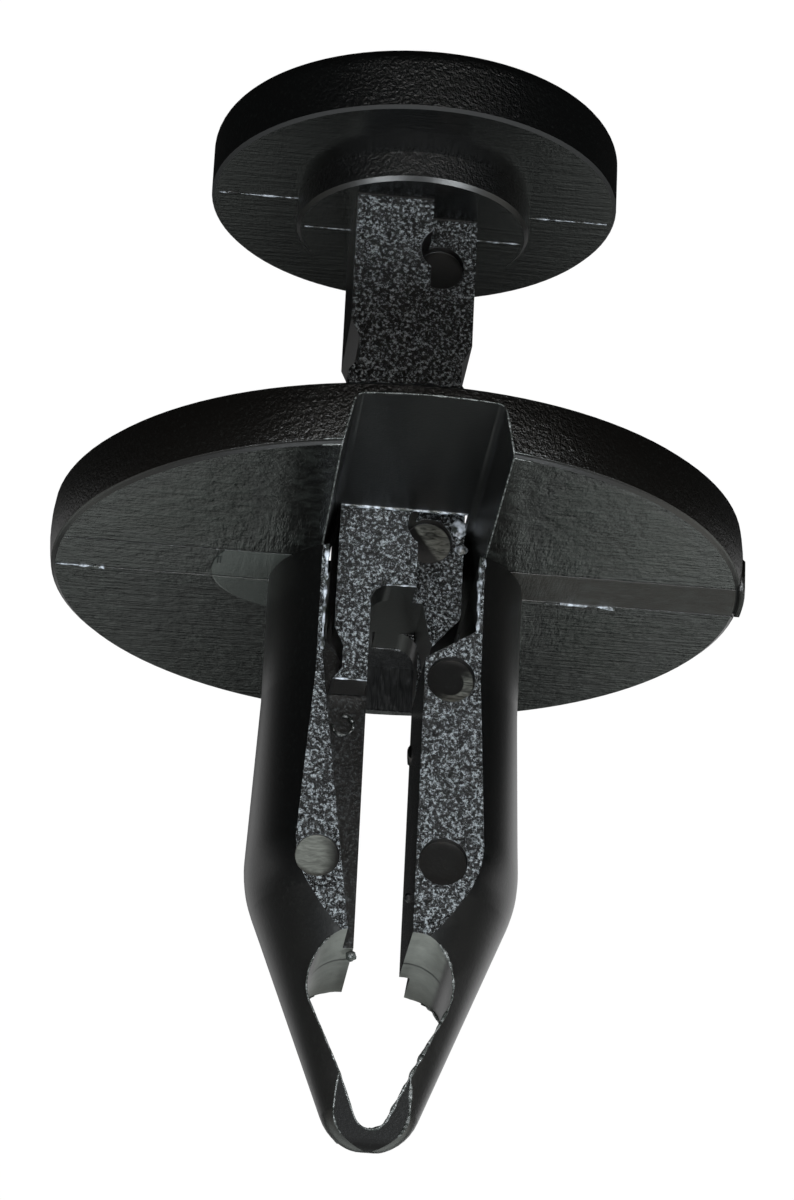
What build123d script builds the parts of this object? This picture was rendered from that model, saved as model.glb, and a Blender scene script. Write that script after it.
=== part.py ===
from build123d import *
import os
from math import cos, radians, sin, tan

# Two-piece expanding push rivet, in millimetres, standing on the head of its pin.
# Z is the rivet's axis and points from the head to the split tip. The origin is the
# centre of the head's outer face. The open end of the flange's channel faces -Y.
# Both pieces are drawn from the mould along Y, so most forms are outlines in the XZ
# plane that are given a depth along Y. The shank and the pin repeat after half a turn
# about Z.

# ---- Driving dimensions ----

# head of the pin
head_diameter = 15.9
head_thickness = 2.8
head_edge_radius = 0.8
head_under_chamfer = 0.12
boss_diameter = 9.1
boss_height = 1.2
boss_chamfer = 0.15

# stroke from the pulled-out position to the boss on the flange
pin_travel = 12.7
seat_clearance = 0.05

# shaft of the pin: two overlapping bars that make a Z in section
pin_half_width = 2.4
pin_half_depth = 3.1
pin_overlap = 0.55
pin_web_half_depth = 1.55
notch_depth = 0.36
notch_height = 2.15
notch_upper_slant = 0.75
notch_lower_slant = 0.5
notch_centre_to_prong_end = 1.0
web_end_depth = 2.9
web_slant_angle = 50.0
web_wedge_offset = 1.35
web_fork_half_gap = 0.95
prong_length = 5.05
prong_width = 1.2
prong_end_relief = 0.1
arch_depth = 1.15
arch_radius = 0.75

# flange of the body, and the channel under its top skin
flange_diameter = 26.0
flange_thickness = 2.4
flange_rim_bulge = 0.12
flange_edge_chamfer = 0.15
skin_thickness = 0.5
channel_ceiling_width = 5.3
channel_mouth_width = 6.3
channel_corner_radius = 0.35
channel_end_wall = 0.6
pin_hole_side_clearance = 0.05
pin_hole_end_clearance = 0.12

# shank: a round form with two flats, tapered to a rounded tip
shank_root_diameter = 9.6
shank_kink_diameter = 10.16
shank_straight_depth = 5.0
shank_kink_depth = 12.3
shank_kink_radius = 5.0
shank_length = 22.0
shank_taper_angle = 21.3
shank_flat_half_depth = 3.72
nose_angle = 31.0
nose_radius = 0.7

# slot and legs
pin_side_clearance = 0.45
rib_gap = 1.94
rib_top_depth = 3.0
rib_top_slant = 33.0
layer_clearance = 0.1
wedge_start_depth = 4.2
wedge_end_half_width = 1.37
lug_end_depth = 14.85
lug_end_radius = 1.6
strap_start_thickness = 0.45
hairpin_inner_angle = 26.0
hairpin_inner_radius = 0.68

# shallow round marks left by the mould's ejector pins
rib_mark_diameter = 1.78
rib_mark_sink = 0.35
rib_mark_depths = (5.0, 12.1)
rib_mark_offset = 1.95
wedge_mark_diameter = 1.6
wedge_mark_sink = 0.12
wedge_mark_depth = 12.2
wedge_mark_offset = 2.6
shaft_mark_diameter = 1.8
shaft_mark_offset = 1.05
shaft_mark_sink = 0.35
shaft_mark_depths = (-13.0, -1.4)

# ---- Derived sizes and levels ----

head_radius = head_diameter / 2
boss_radius = boss_diameter / 2
flange_radius = flange_diameter / 2
boss_face = head_thickness + boss_height
flange_top = boss_face + pin_travel + seat_clearance
flange_under = flange_top + flange_thickness
tip = flange_under + shank_length
slot_half_width = pin_half_width + pin_side_clearance
rib_half_gap = rib_gap / 2
layer_split = pin_web_half_depth - layer_clearance
taper = tan(radians(shank_taper_angle))
root_radius = shank_root_diameter / 2
kink_radius = shank_kink_diameter / 2
kink = flange_under + shank_kink_depth
lower_notch_end = flange_under + prong_length - notch_centre_to_prong_end + notch_height / 2
upper_notch_end = lower_notch_end - pin_travel
cut_margin = 1.0
reach = flange_radius + cut_margin
overlap = 0.3


def below_flange(depth):
    """Level at a depth beyond the flange's underside, towards the tip."""
    return flange_under + depth


def drawn(outline, y_start, y_end):
    """The XZ outline as a solid between two places along Y."""
    face = Plane.XZ.offset(-y_start) * make_face(outline)
    return extrude(face, amount=y_end - y_start, dir=(0, 1, 0))


def half_turn(shape):
    """The same shape on the opposite side of the axis."""
    return shape.rotate(Axis.Z, 180)


def mark(x, z, y_face, diameter, sink):
    """Cutter for a round ejector mark in a face that looks towards -Y."""
    start = Plane.XZ.offset(-(y_face + sink))
    disc = start * Pos(x, z) * Circle(diameter / 2)
    return extrude(disc, amount=shank_flat_half_depth + cut_margin)


# ---- Push pin ----

def make_head():
    """Round head with its boss, turned about the axis."""
    outline = Polyline(
        (0, 0),
        (head_radius, 0),
        (head_radius, head_thickness),
        (boss_radius, head_thickness),
        (boss_radius, boss_face - boss_chamfer),
        (boss_radius - boss_chamfer, boss_face),
        (0, boss_face),
        (0, 0),
    )
    face = make_face(Plane.XZ * outline)
    corners = face.vertices().group_by(Axis.X)[-1].sort_by(Axis.Z)
    face = fillet(corners[0], head_edge_radius)
    corners = face.vertices().filter_by(lambda v: abs(v.Z - head_thickness) < 1e-6)
    face = chamfer(corners.sort_by(Axis.X)[-1], head_under_chamfer)
    return revolve(face, Axis.Z)


def notch_points(side, bottom):
    """Corners of a detent notch in the side face, from the tip end to the head end."""
    floor = side - notch_depth
    top = bottom - notch_height
    return [
        (side, bottom),
        (floor, bottom - notch_lower_slant),
        (floor, top + notch_upper_slant),
        (side, top),
    ]


def make_prong_bar():
    """Front bar of the Z section, with its arch, prong and two notches."""
    inner_side = pin_half_width - prong_width - prong_end_relief
    arch = below_flange(arch_depth)
    prong_end = below_flange(prong_length)
    prong_side = pin_half_width - prong_end_relief
    lower_notch = notch_points(pin_half_width, lower_notch_end)
    upper_notch = notch_points(pin_half_width, upper_notch_end)
    corner_start = (inner_side - arch_radius, arch)
    start = Polyline(
        (-pin_overlap, boss_face - boss_chamfer),
        (-pin_overlap, arch),
        corner_start,
    )
    corner_end = (inner_side, arch + arch_radius)
    round_in = RadiusArc(corner_start, corner_end, -arch_radius)
    rest = Polyline(
        corner_end,
        (inner_side, prong_end),
        (prong_side, prong_end),
        *lower_notch,
        *upper_notch,
        (pin_half_width, boss_face - boss_chamfer),
        (-pin_overlap, boss_face - boss_chamfer),
    )
    return drawn(start + round_in + rest, -pin_half_depth, -pin_web_half_depth)


def make_web():
    """Middle layer of the shaft, forked at its end into two slanted wedges."""
    slope = tan(radians(web_slant_angle))
    fork = below_flange(arch_depth)
    wedge_tip = below_flange(web_end_depth)
    wedge_inner = web_wedge_offset
    wedge_start = wedge_tip - (pin_half_width - wedge_inner) * slope
    side = [(pin_half_width, wedge_start), *notch_points(pin_half_width, upper_notch_end)]
    other = [(-x, z) for x, z in reversed(side)]
    outline = Polyline(
        (-pin_half_width, boss_face - boss_chamfer),
        *other,
        (-wedge_inner, wedge_tip),
        (-web_fork_half_gap, fork),
        (web_fork_half_gap, fork),
        (wedge_inner, wedge_tip),
        *side,
        (pin_half_width, boss_face - boss_chamfer),
        (-pin_half_width, boss_face - boss_chamfer),
    )
    return drawn(outline, -pin_web_half_depth, pin_web_half_depth)


def make_push_pin():
    bar = make_prong_bar()
    pin = make_head() + make_web() + bar + half_turn(bar)
    for depth in shaft_mark_depths:
        level = below_flange(depth)
        cutter = mark(-shaft_mark_offset, level, -pin_web_half_depth, shaft_mark_diameter, shaft_mark_sink)
        pin = pin - cutter - half_turn(cutter)
    return pin


# ---- Rivet body ----

def make_flange():
    """Disc with a slightly bulged rim, cut by the channel that the pin's slot opens into."""
    mid = (flange_top + flange_under) / 2
    top_edge = (flange_radius, flange_top)
    under_edge = (flange_radius, flange_under)
    outline = Polyline(top_edge, (0, flange_top), (0, flange_under), under_edge)
    rim = ThreePointArc(under_edge, (flange_radius + flange_rim_bulge, mid), top_edge)
    face = make_face(Plane.XZ * (outline + rim))
    corners = face.vertices().filter_by(lambda v: v.X > flange_radius - 0.01)
    face = chamfer(corners, flange_edge_chamfer)
    disc = revolve(face, Axis.Z)
    ceiling = flange_top + skin_thickness
    mouth = Polyline(
        (-channel_ceiling_width / 2, ceiling),
        (channel_ceiling_width / 2, ceiling),
        (channel_mouth_width / 2, flange_under + cut_margin / 2),
        (-channel_mouth_width / 2, flange_under + cut_margin / 2),
        (-channel_ceiling_width / 2, ceiling),
    )
    channel = drawn(mouth, -reach, flange_radius - channel_end_wall)
    long_edges = channel.edges().filter_by(Axis.Y).group_by(Axis.Z)[0]
    channel = fillet(long_edges, channel_corner_radius)
    hole_width = 2 * (pin_half_width + pin_hole_side_clearance)
    hole_depth = 2 * (pin_half_depth + pin_hole_end_clearance)
    hole = Pos(0, 0, flange_top) * Box(hole_width, hole_depth, 4 * skin_thickness)
    return disc - channel - hole


def tip_ball_radius():
    """Radius of the ball that rounds off the taper at the tip."""
    apex = kink + kink_radius / taper
    return (apex - tip) / (1 / sin(radians(shank_taper_angle)) - 1)


def taper_contact(ball_radius, centre, taper_angle):
    """Place where a ball on the axis touches the taper that is drawn round it."""
    angle = radians(taper_angle)
    return ball_radius * cos(angle), centre + ball_radius * sin(angle)


def shank_form():
    """Outer form of the closed shank: turned, flattened front and back, narrowed at the nose."""
    ball = tip_ball_radius()
    contact = taper_contact(ball, tip - ball, shank_taper_angle)
    side = Polyline(
        (0, flange_under),
        (root_radius, flange_under),
        (root_radius, below_flange(shank_straight_depth)),
        (kink_radius, kink),
        contact,
    )
    nose = RadiusArc(contact, (0, tip), -ball)
    face = make_face(Plane.XZ * (side + nose + Line((0, tip), (0, flange_under))))
    corner = face.vertices().sort_by_distance((kink_radius, 0, kink))[0]
    turned = revolve(fillet(corner, shank_kink_radius), Axis.Z)
    apex = tip + nose_radius * (1 / sin(radians(nose_angle)) - 1)
    shoulder = apex - shank_flat_half_depth / tan(radians(nose_angle))
    outline = Polyline(
        (-shank_flat_half_depth, flange_under),
        (shank_flat_half_depth, flange_under),
        (shank_flat_half_depth, shoulder),
        (0, apex),
        (-shank_flat_half_depth, shoulder),
        (-shank_flat_half_depth, flange_under),
    )
    side_view = make_face(Plane.YZ * outline)
    nose_corner = side_view.vertices().sort_by(Axis.Z)[-1]
    side_view = fillet(nose_corner, nose_radius)
    return turned & extrude(side_view, amount=shank_kink_diameter, both=True)


def hairpin_opening():
    """Through cut inside the hairpin tip, between the lugs that end the legs' ribs."""
    ball = hairpin_inner_radius
    lug_end = below_flange(lug_end_depth)
    outer_x = kink_radius - (lug_end - kink) * taper
    corner_x = outer_x - strap_start_thickness / cos(radians(shank_taper_angle))
    inner_apex = lug_end + corner_x / tan(radians(hairpin_inner_angle))
    centre = inner_apex - ball / sin(radians(hairpin_inner_angle))
    contact = taper_contact(ball, centre, hairpin_inner_angle)
    outline = Polyline((0, lug_end), (corner_x, lug_end), contact)
    nose = RadiusArc(contact, (0, centre + ball), -ball)
    face = make_face(outline + nose + Line((0, centre + ball), (0, lug_end)))
    corner = face.vertices().sort_by(Axis.X)[-1]
    half = fillet(corner, lug_end_radius)
    whole = half + mirror(half, Plane.YZ)
    return extrude(Plane.XZ * whole, amount=reach, both=True)


def rib_side_slot():
    """Slot beside a rib: wide above the rib's slanted top, narrow along its inner wall."""
    rib_top = below_flange(rib_top_depth)
    rise = (slot_half_width - rib_half_gap) * tan(radians(rib_top_slant))
    slot_end = below_flange(lug_end_depth) + overlap
    outline = Polyline(
        (-overlap, flange_under - overlap),
        (slot_half_width, flange_under - overlap),
        (slot_half_width, rib_top),
        (rib_half_gap, rib_top + rise),
        (rib_half_gap, slot_end),
        (-overlap, slot_end),
        (-overlap, flange_under - overlap),
    )
    return drawn(outline, -layer_split, reach)


def wedge_side_slot():
    """Slot in front of a rib, where the wedge that the prong slides down closes it slowly."""
    wedge_start = below_flange(wedge_start_depth)
    wedge_end = below_flange(lug_end_depth)
    slope = (slot_half_width - wedge_end_half_width) / (wedge_end - wedge_start)
    outline = Polyline(
        (-overlap, flange_under - overlap),
        (slot_half_width, flange_under - overlap),
        (slot_half_width, wedge_start),
        (wedge_end_half_width - overlap * slope, wedge_end + overlap),
        (-overlap, wedge_end + overlap),
        (-overlap, flange_under - overlap),
    )
    return drawn(outline, -reach, -layer_split)


def make_shank():
    slot = rib_side_slot() + wedge_side_slot()
    shank = shank_form() - hairpin_opening() - slot - half_turn(slot)
    for depth in rib_mark_depths:
        level = below_flange(depth)
        cutter = mark(-rib_mark_offset, level, -shank_flat_half_depth, rib_mark_diameter, rib_mark_sink)
        shank = shank - cutter - half_turn(cutter)
    level = below_flange(wedge_mark_depth)
    cutter = mark(wedge_mark_offset, level, -shank_flat_half_depth, wedge_mark_diameter, wedge_mark_sink)
    return shank - cutter - half_turn(cutter)


def make_rivet_body():
    return make_flange() + make_shank()


# ---- Output ----

def main():
    os.makedirs("parts", exist_ok=True)
    export_step(make_push_pin(), "parts/push_pin.step")
    export_step(make_rivet_body(), "parts/rivet_body.step")


main()
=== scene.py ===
from math import cos, pi, radians, sin, tau

import bmesh
import bpy
from mathutils import Matrix, Vector, noise


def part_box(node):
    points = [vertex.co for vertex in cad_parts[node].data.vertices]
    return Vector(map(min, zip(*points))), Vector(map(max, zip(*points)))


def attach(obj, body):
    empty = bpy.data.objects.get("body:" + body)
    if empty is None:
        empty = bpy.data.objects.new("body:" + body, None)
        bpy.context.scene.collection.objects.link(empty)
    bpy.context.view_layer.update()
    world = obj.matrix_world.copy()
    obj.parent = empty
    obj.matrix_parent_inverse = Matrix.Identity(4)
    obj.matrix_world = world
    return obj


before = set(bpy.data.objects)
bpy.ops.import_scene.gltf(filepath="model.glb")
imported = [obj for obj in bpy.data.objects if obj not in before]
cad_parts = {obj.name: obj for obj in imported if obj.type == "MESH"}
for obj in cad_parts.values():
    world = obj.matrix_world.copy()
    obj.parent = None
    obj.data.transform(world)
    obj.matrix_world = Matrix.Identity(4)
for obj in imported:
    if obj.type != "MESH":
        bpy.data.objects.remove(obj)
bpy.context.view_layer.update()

MM = 0.001

# ---- Sizes of the rivet, in millimetres, as its solids have them ----

flange_thickness = 2.4
skin_thickness = 0.5
shank_half_depth = 3.72
slot_half_width = 2.85
head_thickness = 2.8
boss_height = 1.2
boss_radius = 4.55
pin_half_width = 2.4
pin_half_depth = 3.1
prong_length = 5.05
arch_depth = 1.15

# Strip between the two lines that the mould left across the flange's underside
strip_width = 2.5

# Depths where the flats of the legs end, and where the hairpin's opening does
leg_flats_end = 15.2
opening_end = 21.6

pin_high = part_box("push_pin")[1]
body_low, body_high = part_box("rivet_body")
head_radius = pin_high[0] / MM
flange_radius = body_high[0] / MM
flange_under = body_low[2] / MM + flange_thickness

# Depths run along the axis from the flange's underside towards the split tip, so the
# levels of the flange's skin and of the head are negative.
skin_level = skin_thickness - flange_thickness
head_face = head_thickness - flange_under
boss_face = head_thickness + boss_height - flange_under


# ---- Camera ----

camera_distance = 165.3 * MM
camera_elevation = radians(23.2)
camera_azimuth = radians(4.35)
camera_roll = radians(182.81)
focal_length_mm = 131.2
sensor_width_mm = 36
target = Vector((-0.1 * MM, 0.0, (flange_under + 0.42) * MM))


def make_camera():
    """Long lens in front of the rivet, turned so that the head comes out at the top."""
    away = Vector((
        sin(camera_azimuth) * cos(camera_elevation),
        -cos(camera_azimuth) * cos(camera_elevation),
        sin(camera_elevation),
    ))
    right = (-away).cross(Vector((0, 0, 1))).normalized()
    up = right.cross(-away)
    rolled_right = cos(camera_roll) * right + sin(camera_roll) * up
    rolled_up = cos(camera_roll) * up - sin(camera_roll) * right
    data = bpy.data.cameras.new("camera")
    data.lens = focal_length_mm
    data.sensor_width = sensor_width_mm
    data.clip_start = 0.01
    data.clip_end = 20
    camera = bpy.data.objects.new("camera", data)
    turn = Matrix((rolled_right, rolled_up, away)).transposed()
    camera.matrix_world = Matrix.Translation(target + away * camera_distance) @ turn.to_4x4()
    bpy.context.scene.collection.objects.link(camera)
    bpy.context.scene.camera = camera


# ---- Node helpers ----

class Graph:
    """Short names for adding nodes to one node tree."""

    def __init__(self, tree):
        self.tree = tree

    def node(self, kind, **settings):
        made = self.tree.nodes.new(kind)
        for key, value in settings.items():
            setattr(made, key, value)
        return made

    def feed(self, socket, value):
        """Link an output to a socket, or set the socket to a plain value."""
        if hasattr(value, "is_output"):
            self.tree.links.new(value, socket)
        else:
            socket.default_value = value

    def math(self, operation, *values, clamp=False):
        made = self.node("ShaderNodeMath", operation=operation, use_clamp=clamp)
        for socket, value in zip(made.inputs, values):
            self.feed(socket, value)
        return made.outputs[0]

    def chain(self, operation, values):
        total = values[0]
        for value in values[1:]:
            total = self.math(operation, total, value)
        return total

    def add(self, *values):
        return self.chain("ADD", values)

    def times(self, *values):
        return self.chain("MULTIPLY", values)

    def highest(self, *values):
        return self.chain("MAXIMUM", values)

    def minus(self, a, b):
        """The difference, kept between 0 and 1."""
        return self.math("SUBTRACT", a, b, clamp=True)

    def inverse(self, value):
        return self.minus(1.0, value)

    def size(self, value):
        return self.math("ABSOLUTE", value)

    def distance(self, a, b):
        return self.math("SQRT", self.add(self.times(a, a), self.times(b, b)))

    def smooth(self, value, start, end):
        """0 at start and 1 at end, smooth between; start may be the higher one."""
        made = self.node("ShaderNodeMapRange", interpolation_type="SMOOTHSTEP")
        self.feed(made.inputs["Value"], value)
        made.inputs["From Min"].default_value = start
        made.inputs["From Max"].default_value = end
        return made.outputs["Result"]

    def band(self, value, low, high, soft):
        """1 between low and high, with soft edges."""
        rise = self.smooth(value, low - soft, low + soft)
        fall = self.smooth(value, high - soft, high + soft)
        return self.minus(rise, fall)

    def noise(self, vector, scale, detail=2.0, roughness=0.5, distortion=0.0):
        made = self.node("ShaderNodeTexNoise")
        self.feed(made.inputs["Vector"], vector)
        made.inputs["Scale"].default_value = scale
        made.inputs["Detail"].default_value = detail
        made.inputs["Roughness"].default_value = roughness
        made.inputs["Distortion"].default_value = distortion
        return made.outputs["Fac"]

    def stretched(self, vector, scale, turn=0.0):
        made = self.node("ShaderNodeMapping")
        self.feed(made.inputs["Vector"], vector)
        made.inputs["Scale"].default_value = scale
        made.inputs["Rotation"].default_value = (0, 0, turn)
        return made.outputs["Vector"]

    def bump(self, height, depth, normal=None):
        """Relief of a height between 0 and 1, with its depth in millimetres."""
        made = self.node("ShaderNodeBump")
        made.inputs["Distance"].default_value = depth * MM
        self.feed(made.inputs["Height"], height)
        if normal is not None:
            self.feed(made.inputs["Normal"], normal)
        return made.outputs["Normal"]

    def mix(self, factor, a, b):
        made = self.node("ShaderNodeMix", data_type="FLOAT")
        self.feed(made.inputs[0], factor)
        self.feed(made.inputs[2], a)
        self.feed(made.inputs[3], b)
        return made.outputs[0]

    def mix_colour(self, factor, a, b):
        made = self.node("ShaderNodeMix", data_type="RGBA")
        self.feed(made.inputs[0], factor)
        self.feed(made.inputs[6], a)
        self.feed(made.inputs[7], b)
        return made.outputs[2]


def new_material(name):
    material = bpy.data.materials.new(name)
    material.use_nodes = True
    graph = Graph(material.node_tree)
    return material, graph, material.node_tree.nodes["Principled BSDF"]


class Place:
    """Where a shaded point is, in millimetres with z as a depth, and the way it faces."""

    def __init__(self, graph):
        coordinates = graph.node("ShaderNodeTexCoord")
        moved = graph.node("ShaderNodeMapping", vector_type="POINT")
        graph.feed(moved.inputs["Vector"], coordinates.outputs["Object"])
        moved.inputs["Scale"].default_value = (1 / MM, 1 / MM, 1 / MM)
        moved.inputs["Location"].default_value = (0, 0, -flange_under)
        self.point = moved.outputs["Vector"]
        split = graph.node("ShaderNodeSeparateXYZ")
        graph.feed(split.inputs[0], self.point)
        self.x, self.y, self.z = split.outputs
        normal = graph.node("ShaderNodeSeparateXYZ")
        graph.feed(normal.inputs[0], coordinates.outputs["Normal"])
        self.nx, self.ny, self.nz = normal.outputs
        self.radius = graph.distance(self.x, self.y)


# ---- Moulded plastic ----

# Colours, from the bare plastic to scraped and torn places, and pale ones painted as light and glint
BLACK = (0.0007, 0.0008, 0.0008, 1)
BROWN = (0.0045, 0.0028, 0.0014, 1)
RUB = (0.020, 0.023, 0.021, 1)
# Pale flash: partly whitening where it is torn, partly painted highlight on its edges
WHITENED_AND_GLINT = (0.12, 0.127, 0.125, 1)
# Pale colour painted as light on lit faces: the lugs and the floors of ejector marks
PAINTED_LIGHT = (0.17, 0.178, 0.16, 1)
# Pale colour painted as highlight on the grain's peaks
GRAIN_PAINTED_HIGHLIGHT = (0.3, 0.33, 0.35, 1)
GLINT = (0.46, 0.50, 0.56, 1)

# Depth of each kind of relief, in millimetres
PEEL_DEPTH = 0.0055
SCRAPE_DEPTH = 0.05
SPECKLE_DEPTH = 0.1
GRAIN_DEPTH = 0.12

PLAIN_ROUGHNESS = 0.34
GRAIN_ROUGHNESS = 0.27

# Ejector marks: place across on the back face, depth, and the radius that is lit
SHAFT_MARKS_ACROSS = 1.05
UPPER_SHAFT_MARK = -13.0
LOWER_SHAFT_MARK = -1.4
SHAFT_MARK_RADIUS = 0.9
WEDGE_MARK = (-2.6, 12.2)
WEDGE_MARK_RADIUS = 0.8
RIB_MARK = (1.95, 5.0)
RIB_MARK_RING = (0.5, 0.84)


def facing(graph, component):
    """1 on faces square to the axis of a component of the normal."""
    return graph.smooth(component, 0.97, 0.99)


def mark(graph, place, across, depth):
    """Place relative to an ejector mark's centre, the same on both faces after half a turn."""
    turned = graph.times(place.x, graph.math("SIGN", place.y))
    return graph.add(turned, -across), graph.add(place.z, -depth)


def disc(graph, centre, radius):
    return graph.smooth(graph.distance(*centre), radius + 0.03, radius - 0.03)


def swirl(graph, place, scale):
    """Faint turned lines on the floors of the ejector marks."""
    lines = graph.stretched(place.point, (scale, 1.0, 4.5 * scale))
    return graph.noise(lines, 1.0, 3.0, 0.6, 1.5)


def streaks(graph, place, scale, turn, detail=3.5, roughness=0.65):
    """Scratches that run one way: long where the scale is small."""
    return graph.noise(graph.stretched(place.point, scale, turn), 1.0, detail, roughness)


def rim_speckle(graph, place, round_part, inner, outer):
    """Fine speckle of a rim, strongest at the front and the back."""
    middle = graph.inverse(graph.smooth(graph.size(place.x), inner, outer))
    return graph.times(round_part, graph.add(graph.times(middle, 0.75), 0.25))


def moulded(graph, shader, place, eroded, speckled, relief, colour, roughness):
    """Black plastic with spark-eroded grain, finer speckle, and scrapes, each in its own places. The
    grain's peaks are painted pale, as a painted highlight.
    """
    blobs = graph.noise(place.point, 8.5, 4.0, 0.78, 0.2)
    speckle = graph.noise(place.point, 6.5, 3.0, 0.65)
    peel = graph.noise(place.point, 7.5, 3.0, 0.7)
    normal = graph.bump(graph.times(peel, graph.inverse(eroded)), PEEL_DEPTH)
    normal = graph.bump(graph.times(speckle, speckled), SPECKLE_DEPTH, normal)
    normal = graph.bump(relief, SCRAPE_DEPTH, normal)
    normal = graph.bump(graph.times(blobs, eroded), GRAIN_DEPTH, normal)
    # Painted highlight: the grain's peaks get a pale colour in place of the light that they catch
    painted_grain_highlight = graph.times(eroded, graph.smooth(blobs, 0.495, 0.645))
    fleck = graph.times(graph.smooth(peel, 0.55, 0.8), 0.35)
    flecked = graph.mix_colour(fleck, colour, RUB)
    graph.feed(shader.inputs["Base Color"], graph.mix_colour(painted_grain_highlight, flecked, GRAIN_PAINTED_HIGHLIGHT))
    graph.feed(shader.inputs["Roughness"], graph.mix(eroded, roughness, GRAIN_ROUGHNESS))
    graph.feed(shader.inputs["Normal"], normal)


# ---- Plastic of the pin ----

def pin_colour(graph, place, flat, lower_mark):
    """Black, with the lit half of the floor of the shaft's lower mark painted pale, a painted light.
    """
    diagonal = graph.add(lower_mark[0], graph.times(lower_mark[1], -0.7))
    lit = graph.smooth(diagonal, -0.1, 0.1)
    floor = disc(graph, lower_mark, SHAFT_MARK_RADIUS - 0.04)
    # Painted light: the pale colour goes on the lit half of the mark's floor, along its turned lines
    rubbed = graph.times(floor, lit, graph.smooth(swirl(graph, place, 1.2), 0.3, 0.7))
    return graph.mix_colour(graph.times(rubbed, flat), BLACK, PAINTED_LIGHT)


def pin_roughness(graph, place, under):
    """Smooth under the head, and dull on the rounded edge of its rim."""
    turning = graph.smooth(place.nz, 0.3, 0.5)
    outside = graph.smooth(place.radius, head_radius - 0.6, head_radius - 0.4)
    edge = graph.times(turning, outside, graph.inverse(under))
    return graph.mix(edge, graph.mix(under, PLAIN_ROUGHNESS, 0.22), 0.8)


def pin_plastic():
    """Grain on the shaft's flats, speckle round the head, streaks on its underside."""
    material, graph, shader = new_material("pin_plastic")
    place = Place(graph)
    flat = facing(graph, graph.size(place.ny))
    shaft = graph.smooth(place.z, boss_face + 0.05, boss_face + 0.1)
    head = graph.inverse(shaft)
    upper_mark = mark(graph, place, SHAFT_MARKS_ACROSS, UPPER_SHAFT_MARK)
    lower_mark = mark(graph, place, SHAFT_MARKS_ACROSS, LOWER_SHAFT_MARK)
    upper_floor = disc(graph, upper_mark, SHAFT_MARK_RADIUS)
    lower_floor = disc(graph, lower_mark, SHAFT_MARK_RADIUS)
    floors = graph.math("ADD", upper_floor, lower_floor, clamp=True)
    eroded = graph.times(flat, shaft, graph.inverse(floors))
    under = graph.times(facing(graph, place.nz), head)
    round_part = graph.times(head, graph.smooth(graph.size(place.nz), 0.7, 0.5))
    speckled = rim_speckle(graph, place, round_part, 1.0, 6.5)
    streak = streaks(graph, place, (0.5, 6.0, 1.0), 0.06, 3.0, 0.6)
    relief = graph.times(streak, under, 0.3)
    colour = pin_colour(graph, place, flat, lower_mark)
    rough = pin_roughness(graph, place, under)
    moulded(graph, shader, place, eroded, speckled, relief, colour, rough)
    return material


# ---- Plastic of the body ----

class BodyAreas:
    """Areas of the flange and the legs, each 1 inside and 0 outside."""

    def __init__(self, graph, place):
        width = graph.size(place.x)
        half_depth = graph.size(place.y)
        sideways = graph.size(place.nx)

        # the legs
        self.flat = facing(graph, graph.size(place.ny))
        self.leg = graph.band(place.z, 0.0, leg_flats_end, 0.05)
        outer = graph.smooth(half_depth, shank_half_depth - 0.06, shank_half_depth - 0.03)
        inner = graph.inverse(graph.smooth(half_depth, 1.8, 1.9))
        self.outer_flat = graph.times(self.flat, self.leg, outer)
        self.inner_flat = graph.times(self.flat, self.leg, inner)
        slanted = graph.smooth(place.nz, 0.55, 0.7)
        self.lug = graph.times(slanted, graph.band(place.z, 14.4, 17.2, 0.1))
        between_ribs = graph.inverse(graph.smooth(width, 1.6, 1.7))
        self.wall = graph.times(facing(graph, sideways), between_ribs)
        ahead = graph.smooth(sideways, 0.2, 0.1)
        self.tip_facet = graph.times(graph.smooth(place.z, 17.0, 18.0), ahead)
        behind_window = graph.inverse(graph.smooth(width, 2.0, 2.2))
        ledge_level = graph.band(place.z, -2.3, 4.0, 0.1)
        self.ledge = graph.times(behind_window, ledge_level, graph.smooth(place.y, 0.2, 0.4))

        # the flange
        level = graph.band(place.z, -0.02, 0.02, 0.02)
        self.under = graph.times(facing(graph, place.nz), level)
        self.rim = graph.smooth(place.radius, flange_radius - 0.16, flange_radius - 0.1)
        self.right = graph.inverse(graph.smooth(place.x, -0.1, 0.1))
        self.back = graph.smooth(place.y, -0.03, 0.03)
        self.front = graph.inverse(self.back)

        # distance across the flange for its moulded lines, which waver a little
        waver = graph.times(graph.add(graph.noise(place.point, 1.2, 3.0), -0.5), 0.16)
        self.across = graph.add(place.y, waver)
        between_lines = graph.band(self.across, -strip_width, 0.0, 0.05)
        self.strip = graph.times(self.under, self.right, between_lines)
        pad_place = (graph.add(place.x, -3.43), graph.add(place.y, 0.76))
        pad_end = graph.smooth(place.y, -strip_width - 0.05, -strip_width + 0.05)
        self.pad = graph.times(self.under, disc(graph, pad_place, 3.58), pad_end)


def flange_lines(graph, place, areas):
    """Two lines across the underside, a crevice in one of them, and a short tick."""
    tool_line = graph.band(graph.add(areas.across, strip_width), -0.03, 0.03, 0.03)
    mould_line = graph.band(areas.across, -0.04, 0.04, 0.03)
    crevice_run = graph.band(place.x, -8.5, -5.7, 0.25)
    crevice = graph.times(crevice_run, graph.band(areas.across, -0.04, 0.2, 0.05))
    tick_run = graph.band(place.y, -1.8, -1.2, 0.05)
    tick = graph.times(graph.band(place.x, 6.7, 6.8, 0.03), tick_run)
    lines = graph.highest(graph.times(tool_line, 0.8), mould_line, crevice, tick)
    return graph.times(areas.under, lines)


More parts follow.
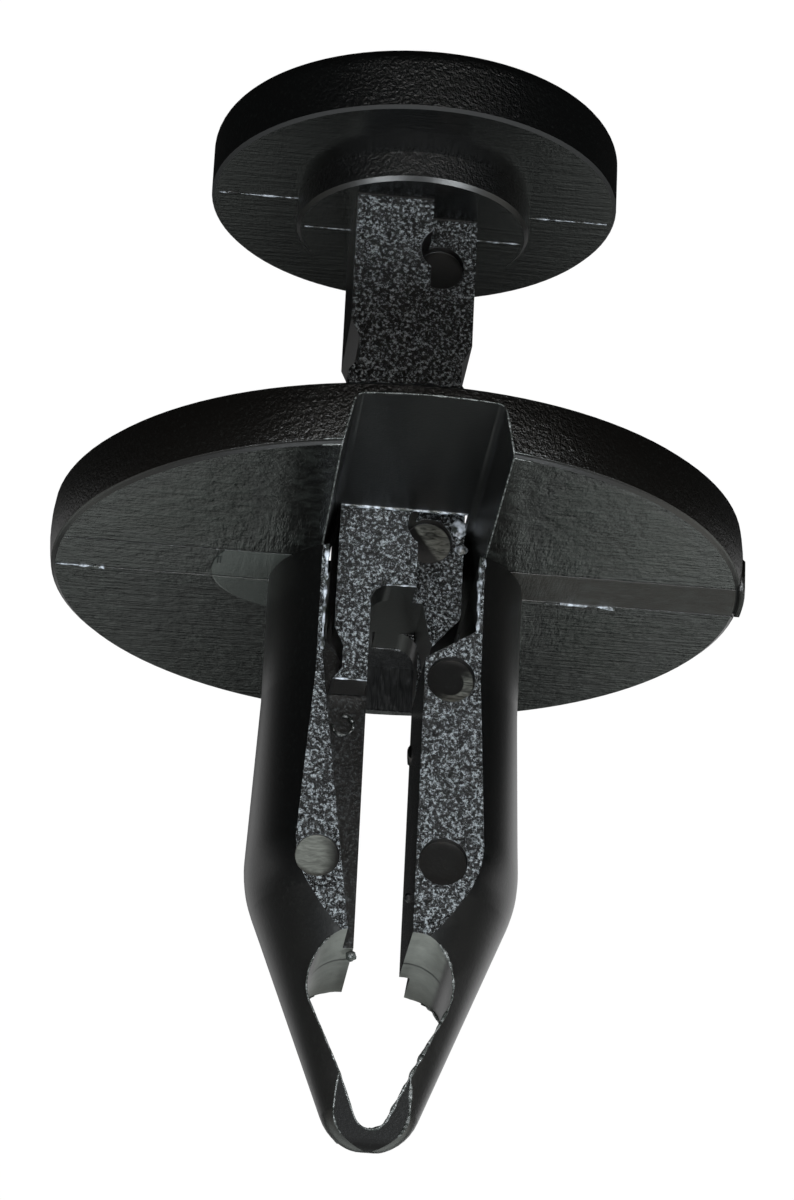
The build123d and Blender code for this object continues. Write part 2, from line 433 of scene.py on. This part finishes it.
def body_relief(graph, place, areas, mottle, lines):
    """Scrapes on the underside, drips on the ledge, sunken lines, and the slanting strip."""
    along = streaks(graph, place, (0.4, 5.5, 1.0), 0.03)
    rubbed = streaks(graph, place, (4.5, 0.8, 1.0), 0.2)
    close_in = graph.inverse(graph.smooth(place.radius, 4.5, 9.0))
    rubbed_part = graph.times(close_in, graph.highest(areas.front, areas.right))
    scrapes = graph.add(
        graph.times(along, graph.mix(areas.back, 0.35, 1.0), 0.8),
        graph.times(rubbed, rubbed_part, 1.4),
        graph.times(mottle, 0.5),
    )
    scrapes = graph.times(scrapes, areas.under, graph.mix(areas.pad, 1.0, 0.12))
    drips = graph.noise(graph.stretched(place.point, (3.0, 1.2, 0.6)), 1.0, 2.0, 0.6)
    slant = graph.times(areas.strip, graph.add(place.y, strip_width / 2), -1.4)
    return graph.add(scrapes, graph.times(drips, areas.ledge, 7.0), graph.times(lines, -2.0), slant)


def mark_shine(graph, place, areas):
    """Lit floor of the wedge's ejector mark, and a lit arc in the rib's."""
    wedge = mark(graph, place, *WEDGE_MARK)
    rib = mark(graph, place, *RIB_MARK)
    turned = graph.smooth(swirl(graph, place, 1.3), 0.25, 0.75)
    lit = graph.smooth(wedge[0], WEDGE_MARK_RADIUS, 0.0)
    floor = disc(graph, wedge, WEDGE_MARK_RADIUS)
    shine = graph.times(floor, graph.mix(turned, 0.35, 1.0), lit, 0.75)
    ring_inside, ring_outside = RIB_MARK_RING
    ring = graph.minus(disc(graph, rib, ring_outside), disc(graph, rib, ring_inside))
    arc = graph.times(ring, graph.smooth(graph.add(*rib), -0.1, 0.7), turned)
    sunken = graph.inverse(areas.outer_flat)
    return graph.times(areas.flat, areas.leg, sunken, graph.highest(shine, arc))


def body_colour(graph, place, areas, mottle):
    """Brownish strip and rim, rubbed pad and underside, and lugs and mark floors painted pale as
    painted light.
    """
    warm = graph.highest(graph.times(areas.strip, 0.8), graph.times(areas.rim, 0.25))
    colour = graph.mix_colour(warm, BLACK, BROWN)
    lighter = graph.times(graph.smooth(mottle, 0.4, 0.8), areas.under, 0.5)
    colour = graph.mix_colour(graph.highest(lighter, areas.pad), colour, RUB)
    lug_line = graph.band(graph.add(areas.across, 0.15), -0.08, 0.08, 0.06)
    # Painted light: the lugs' faces towards the tip are painted pale, with a dark parting line
    # across them
    lug = graph.times(areas.lug, graph.add(mottle, 0.25), graph.inverse(lug_line), 0.68)
    return graph.mix_colour(graph.highest(mark_shine(graph, place, areas), lug), colour, PAINTED_LIGHT)


def body_roughness(graph, areas, lines):
    rough = graph.mix(areas.under, PLAIN_ROUGHNESS, 0.2)
    for area, value in (
        (areas.wall, 0.15),
        (areas.lug, 0.4),
        (areas.strip, 0.5),
        (areas.ledge, 0.5),
        (areas.tip_facet, 0.22),
        (lines, 0.4),
    ):
        rough = graph.mix(area, rough, value)
    return rough


def body_plastic():
    """Grain on the legs' flats, speckle round the flange, scrapes on its underside."""
    material, graph, shader = new_material("body_plastic")
    place = Place(graph)
    areas = BodyAreas(graph, place)
    faint_inside = graph.times(areas.inner_flat, 0.12)
    eroded = graph.math("ADD", areas.outer_flat, faint_inside, clamp=True)
    mottle = graph.noise(place.point, 1.6, 4.0, 0.7)
    lines = flange_lines(graph, place, areas)
    relief = body_relief(graph, place, areas, mottle, lines)
    colour = body_colour(graph, place, areas, mottle)
    rough = body_roughness(graph, areas, lines)
    speckled = rim_speckle(graph, place, areas.rim, 3.0, 8.0)
    moulded(graph, shader, place, eroded, speckled, relief, colour, rough)
    return material


def flash_plastic(name, whitening_and_glint):
    """Thin moulding flash: the same plastic, pale in patches, partly whitening where it is torn and
    bent, partly painted highlight.
    """
    material, graph, shader = new_material(name)
    place = Place(graph)
    # Pale patches: partly whitened flash, partly painted highlight
    pale_patches = graph.smooth(graph.noise(place.point, 2.6, 3.0, 0.6), 0.4, 0.7)
    graph.feed(shader.inputs["Base Color"], graph.mix_colour(pale_patches, RUB, whitening_and_glint))
    shader.inputs["Roughness"].default_value = 0.25
    uneven = graph.noise(place.point, 8.0, 2.0)
    graph.feed(shader.inputs["Normal"], graph.bump(uneven, SCRAPE_DEPTH))
    return material


# ---- Tools for flash and burrs ----

SHARP = radians(20)
SAME_PLACE = 0.0005 * MM
BURR_STEP = 0.11 * MM
BURR_SIDES = 5
LUMP_LENGTH = 0.3 * MM


def at(x, y, depth):
    """A place in metres from millimetres and a depth from the flange's underside."""
    return Vector((x, y, depth + flange_under)) * MM


def finish_piece(name, bm, body, material):
    """Turn a drawn shape into a smooth-shaded piece that moves with a body."""
    mesh = bpy.data.meshes.new(name)
    bm.to_mesh(mesh)
    bm.free()
    piece = bpy.data.objects.new(name, mesh)
    bpy.context.scene.collection.objects.link(piece)
    for polygon in mesh.polygons:
        polygon.use_smooth = True
    mesh.materials.append(material)
    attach(piece, body)


def swollen(point, radius, unevenness):
    """Radius of a burr at a place, uneven in lumps of a third of a millimetre."""
    lump = noise.noise(point / LUMP_LENGTH)
    return radius * max(0.15, 1.0 + unevenness * lump)


def add_burr(bm, start, end, radius, unevenness):
    """Closed uneven tube between two places."""
    run = end - start
    steps = max(1, round(run.length / BURR_STEP))
    side = run.orthogonal().normalized()
    other = run.cross(side).normalized()
    turns = [tau * k / BURR_SIDES for k in range(BURR_SIDES)]
    rings = []
    for step in range(steps + 1):
        centre = start + run * (step / steps)
        size = swollen(centre, radius * MM, unevenness)
        rings.append([bm.verts.new(centre + size * (cos(a) * side + sin(a) * other)) for a in turns])
    for ring, following in zip(rings, rings[1:]):
        for k in range(BURR_SIDES):
            j = (k + 1) % BURR_SIDES
            bm.faces.new((ring[k], ring[j], following[j], following[k]))
    bm.faces.new(tuple(reversed(rings[0])))
    bm.faces.new(tuple(rings[-1]))


def sharp_edges(node, wanted):
    """Ends of a solid's sharp edges, where the edge's middle is wanted."""
    bm = bmesh.new()
    bm.from_mesh(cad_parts[node].data)
    bmesh.ops.remove_doubles(bm, verts=bm.verts, dist=SAME_PLACE)
    found = []
    for edge in bm.edges:
        if len(edge.link_faces) == 2 and edge.calc_face_angle(0.0) > SHARP:
            a, b = (vertex.co.copy() for vertex in edge.verts)
            x, y, z = (a + b) / 2 / MM
            if wanted(x, y, z - flange_under):
                found.append((a, b))
    bm.free()
    return found


def burr_on_edges(name, node, wanted, radius, unevenness, material):
    bm = bmesh.new()
    for start, end in sharp_edges(node, wanted):
        add_burr(bm, start, end, radius, unevenness)
    finish_piece(name, bm, node, material)


def burr_on_lines(name, body, lines, radius, unevenness, material):
    bm = bmesh.new()
    for start, end in lines:
        add_burr(bm, at(*start), at(*end), radius, unevenness)
    finish_piece(name, bm, body, material)


def lumps(name, body, places, material):
    """Small uneven lumps: each has a place and three half widths, in millimetres."""
    bm = bmesh.new()
    for place, half_widths in places:
        made = bmesh.ops.create_icosphere(bm, subdivisions=3, radius=1.0)
        centre = at(*place)
        for vertex in made["verts"]:
            direction = vertex.co.copy()
            size = 1.0 + 0.35 * noise.noise(direction * 1.7 + centre / MM)
            vertex.co = centre + Vector([c * w * MM * size for c, w in zip(direction, half_widths)])
    finish_piece(name, bm, body, material)


# ---- Which sharp edges carry burrs ----

def near(value, wanted, reach):
    return abs(value - wanted) < reach


def on_hairpin(side):
    """Rim of the hairpin's opening on one leg: side is 1 on the left and -1 on the right."""
    def wanted(x, y, depth):
        return leg_flats_end < depth < opening_end and 0 < side * x < 3.5 and abs(y) > 0.3
    return wanted


def on_channel_mouth(x, y, depth):
    return y < -4.0 and 2.5 < abs(x) < 3.4 and -1.7 < depth < 0.05


def on_skin_end(x, y, depth):
    return y < -12.0 and abs(x) < 2.6 and near(depth, skin_level, 0.1)


def on_hole_end(x, y, depth):
    return -4.2 < y < -3.0 and -0.4 < x < 2.4 and near(depth, skin_level, 0.1)


def on_slot_mouth(x, y, depth):
    on_side = near(abs(x), slot_half_width, 0.06)
    return near(abs(y), shank_half_depth, 0.02) and on_side and depth < 4.4


def on_prong_end(x, y, depth):
    on_end = near(depth, prong_length, 0.03) or near(depth, arch_depth, 0.03)
    return near(abs(y), pin_half_depth, 0.02) and on_end


# ---- The flash and burrs themselves ----

# The pale finishes of these pieces are painted highlight along edges; the worn one is partly
# whitened flash as well
def make_edge_burrs(worn_and_glinting, glinting):
    """Burrs along edges: radius in millimetres, and how uneven they are."""
    for name, node, wanted, radius, unevenness, material in (
        ("hairpin_edge_left", "rivet_body", on_hairpin(1), 0.035, 0.6, worn_and_glinting),
        ("hairpin_edge_right", "rivet_body", on_hairpin(-1), 0.055, 1.3, worn_and_glinting),
        ("channel_edges", "rivet_body", on_channel_mouth, 0.035, 0.5, worn_and_glinting),
        ("skin_edge", "rivet_body", on_skin_end, 0.03, 0.9, worn_and_glinting),
        ("hole_edge", "rivet_body", on_hole_end, 0.07, 0.7, glinting),
        ("slot_edges", "rivet_body", on_slot_mouth, 0.07, 1.5, glinting),
        ("prong_edges", "push_pin", on_prong_end, 0.045, 0.8, glinting),
    ):
        burr_on_edges(name, node, wanted, radius, unevenness, material)


def make_head_flash(plain, glinting):
    """Parting line across the head's underside and the boss, and a lump on it."""
    shaft_side = pin_half_width + 0.05
    lines = []
    for inside, outside, level in (
        (boss_radius, head_radius - 0.3, head_face),
        (shaft_side, boss_radius - 0.3, boss_face),
    ):
        for side in (1, -1):
            lines.append(((side * inside, 0, level), (side * outside, 0, level)))
    burr_on_lines("head_parting_line", "push_pin", lines, 0.035, 1.3, glinting)
    lumps("head_flash", "push_pin", [((7.1, 0, head_face), (0.32, 0.1, 0.06))], plain)


def make_flange_flash(plain, glinting):
    """Lengths of the parting line that stand up on the flange's underside."""
    for name, start, end, radius, unevenness, material in (
        ("left_flash", (12.85, 0.02, 0), (11.0, 0.02, 0), 0.06, 1.6, glinting),
        ("right_flash", (-6.3, 0.08, 0), (-8.4, 0.12, 0), 0.05, 2.2, glinting),
        ("right_ridge", (-9.2, 0.0, 0), (-12.9, 0.0, 0), 0.03, 1.0, plain),
    ):
        burr_on_lines(name, "rivet_body", [(start, end)], radius, unevenness, material)


def make_lumps(plain, worn_and_glinting, glinting):
    """Scraps of flash: on a rib's wall, on a lug, on the pin and by its hole."""
    lumps("leg_flash", "rivet_body", [
        ((-0.95, 1.2, 6.2), (0.09, 0.2, 0.4)),
        ((-0.95, -1.0, 12.6), (0.12, 0.2, 0.18)),
    ], plain)
    lumps("nib", "rivet_body", [((1.05, -1.3, 15.1), (0.2, 0.25, 0.18))], worn_and_glinting)
    lumps("pin_flash", "push_pin", [
        ((-2.2, -1.6, -2.0), (0.28, 0.08, 0.38)),
        ((-2.3, -1.6, -1.15), (0.24, 0.08, 0.2)),
    ], glinting)
    lumps("hole_flash", "rivet_body", [
        ((-3.02, -3.6, -0.9), (0.07, 0.1, 0.5)),
        ((-3.0, -3.65, 0.2), (0.08, 0.1, 0.25)),
    ], glinting)


def make_rib_ring(material):
    """Thin raised ring on the inner rib, open at one place."""
    x, y, depth = 1.8, -1.62, 6.3
    radius = 0.4
    sides = 9
    ring = [
        (x + radius * cos(tau * k / sides), y, depth + radius * sin(tau * k / sides))
        for k in range(sides - 1)
    ]
    burr_on_lines("rib_ring", "rivet_body", list(zip(ring, ring[1:])), 0.06, 1.2, material)


def make_rim_step(material):
    """End of the strip, a little proud of the flange's rim on the right."""
    sunk, proud = -0.15, 0.09
    steps = 12
    bm = bmesh.new()
    columns = []
    for k in range(steps + 1):
        y = -strip_width * k / steps
        inner, outer = (-((flange_radius + out) ** 2 - y * y) ** 0.5 for out in (sunk, proud))
        corners = ((inner, -1.4), (outer, -1.2), (outer, -0.12), (outer + 0.04, 0.02), (inner, 0.02))
        columns.append([bm.verts.new(at(x, y, depth)) for x, depth in corners])
    sides = len(columns[0])
    for column, following in zip(columns, columns[1:]):
        for k in range(sides):
            j = (k + 1) % sides
            bm.faces.new((column[k], following[k], following[j], column[j]))
    bm.faces.new(tuple(columns[0]))
    bm.faces.new(tuple(reversed(columns[-1])))
    bmesh.ops.recalc_face_normals(bm, faces=bm.faces)
    finish_piece("rim_step", bm, "rivet_body", material)


def make_flash(plain, worn_and_glinting, glinting):
    make_edge_burrs(worn_and_glinting, glinting)
    make_head_flash(plain, glinting)
    make_flange_flash(plain, glinting)
    make_lumps(plain, worn_and_glinting, glinting)
    make_rib_ring(worn_and_glinting)
    make_rim_step(plain)


# ---- Studio ----

WHITE = (1, 1, 1, 1)
FLOOR_RADIUS = 1.2
FLOOR_GLOW = 0.65

NEUTRAL = (1, 1, 1)
GREENISH = (0.93, 1.0, 0.95)
YELLOWISH = (1.0, 0.98, 0.9)
WARM = (1.0, 0.97, 0.93)
BLUISH = (0.92, 0.97, 1.0)

# Each lamp: name, place in metres, the way it faces, width and height, radiance, colour
LAMPS = (
    ("ceiling", (0.0, 0.0, 0.2), (0, 0, -1), (0.36, 0.36), 0.3, NEUTRAL),
    ("far_left", (0.077, 0.13, 0.1185), (0, -1, 0), (0.15, 0.083), 1.0, GREENISH),
    ("far_middle", (-0.0105, 0.13, 0.1185), (0, -1, 0), (0.025, 0.083), 0.05, GREENISH),
    ("far_right", (-0.0865, 0.13, 0.1185), (0, -1, 0), (0.127, 0.083), 1.25, GREENISH),
    ("left", (0.12, 0.04, 0.11), (-1, 0, 0), (0.14, 0.08), 0.5, YELLOWISH),
    ("right", (-0.12, 0.04, 0.11), (1, 0, 0), (0.14, 0.08), 1.1, YELLOWISH),
    ("front_low", (0.0, -0.16, 0.058), (0, 1, -0.2), (0.05, 0.05), 14.0, WARM),
    ("front_left", (0.105, -0.125, 0.18), (-0.45, 0.54, -0.7), (0.06, 0.06), 48.0, BLUISH),
    ("front_right", (-0.105, -0.125, 0.18), (0.45, 0.54, -0.7), (0.06, 0.06), 48.0, BLUISH),
)


def make_world():
    """White for the camera and nearly dark for the object, which the lamps light."""
    world = bpy.data.worlds.new("studio")
    world.use_nodes = True
    graph = Graph(world.node_tree)
    background = world.node_tree.nodes["Background"]
    camera_ray = graph.node("ShaderNodeLightPath").outputs["Is Camera Ray"]
    graph.feed(background.inputs["Strength"], graph.mix(camera_ray, 0.01, 1.0))
    background.inputs["Color"].default_value = WHITE
    bpy.context.scene.world = world


def make_floor():
    """Round floor: white to the camera, and to other rays dark except beside and behind."""
    bpy.ops.mesh.primitive_circle_add(vertices=96, radius=FLOOR_RADIUS, fill_type="NGON")
    floor = bpy.context.object
    floor.name = "floor"
    material, graph, shader = new_material("floor")
    shader.inputs["Base Color"].default_value = (0.01, 0.01, 0.01, 1)
    shader.inputs["Roughness"].default_value = 0.9
    shader.inputs["Specular IOR Level"].default_value = 0.0
    shader.inputs["Emission Color"].default_value = WHITE
    split = graph.node("ShaderNodeSeparateXYZ")
    graph.feed(split.inputs[0], graph.node("ShaderNodeNewGeometry").outputs["Position"])
    beside = graph.smooth(graph.size(split.outputs[0]), 0.016, 0.034)
    behind = graph.smooth(split.outputs[1], 0.030, 0.060)
    right = graph.mix(graph.smooth(split.outputs[0], -0.01, 0.01), 1.6, 1.0)
    camera_ray = graph.node("ShaderNodeLightPath").outputs["Is Camera Ray"]
    glow = graph.times(beside, behind, right, FLOOR_GLOW)
    graph.feed(shader.inputs["Emission Strength"], graph.mix(camera_ray, glow, 1.0))
    floor.data.materials.append(material)


def softbox(name, place, facing_way, size, radiance, colour):
    """Rectangular lamp that the camera doesn't see."""
    data = bpy.data.lights.new(name, "AREA")
    data.shape = "RECTANGLE"
    data.size, data.size_y = size
    data.energy = pi * size[0] * size[1] * radiance
    data.color = colour
    light = bpy.data.objects.new(name, data)
    light.location = place
    light.rotation_euler = Vector(facing_way).to_track_quat("-Z", "Y").to_euler()
    light.visible_camera = False
    bpy.context.scene.collection.objects.link(light)


def make_lights():
    for lamp in LAMPS:
        softbox(*lamp)


def dress(node, material):
    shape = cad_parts[node]
    shape.data.materials.clear()
    shape.data.materials.append(material)


make_camera()
make_world()
make_floor()
make_lights()
body_finish = body_plastic()
dress("push_pin", pin_plastic())
dress("rivet_body", body_finish)
make_flash(body_finish, flash_plastic("flash_whitened_and_glinting", WHITENED_AND_GLINT), flash_plastic("bright_flash", GLINT))

scene = bpy.context.scene
scene.view_settings.view_transform = "Standard"
